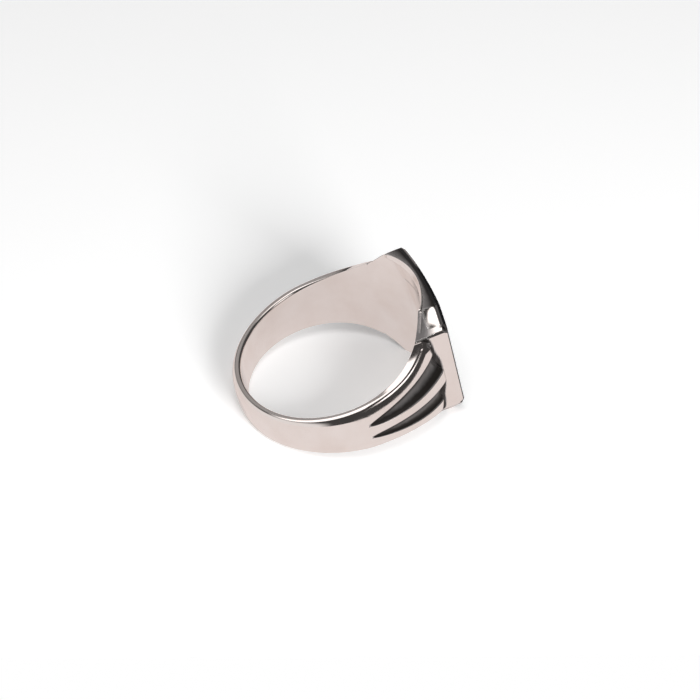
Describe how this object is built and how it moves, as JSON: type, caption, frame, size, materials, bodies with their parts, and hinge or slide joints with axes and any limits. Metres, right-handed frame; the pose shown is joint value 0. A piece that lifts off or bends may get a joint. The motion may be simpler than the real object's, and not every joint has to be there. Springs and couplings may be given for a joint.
{
  "type": "signet ring",
  "caption": "Silver signet ring with fluted shoulders and a cut-corner head faced with a thin black stone tablet.",
  "frame": {"origin": "centre of the finger hole, halfway along it", "axes": "+Z along the finger hole's axis, +X out through the middle of the face, +Y across the finger to the right-hand shoulder"},
  "size_m": [0.022, 0.0226, 0.0148],
  "materials": {
    "polished_silver": "high polish with fine hairlines",
    "antiqued_silver": "polished ridges, flutes blackened by oxidation",
    "seat_silver": "sawn sheet, unpolished and hidden",
    "onyx": "polished black stone"
  },
  "bodies": {
    "root": {"shank": "polished_silver", "left_shoulder": "antiqued_silver", "right_shoulder": "antiqued_silver", "left_end_wall": "polished_silver", "right_end_wall": "polished_silver", "upper_side_wall": "polished_silver", "lower_side_wall": "polished_silver", "finger_liner": "polished_silver", "stone_seat": "seat_silver", "onyx_tablet": "onyx"}
  },
  "joints": []
}
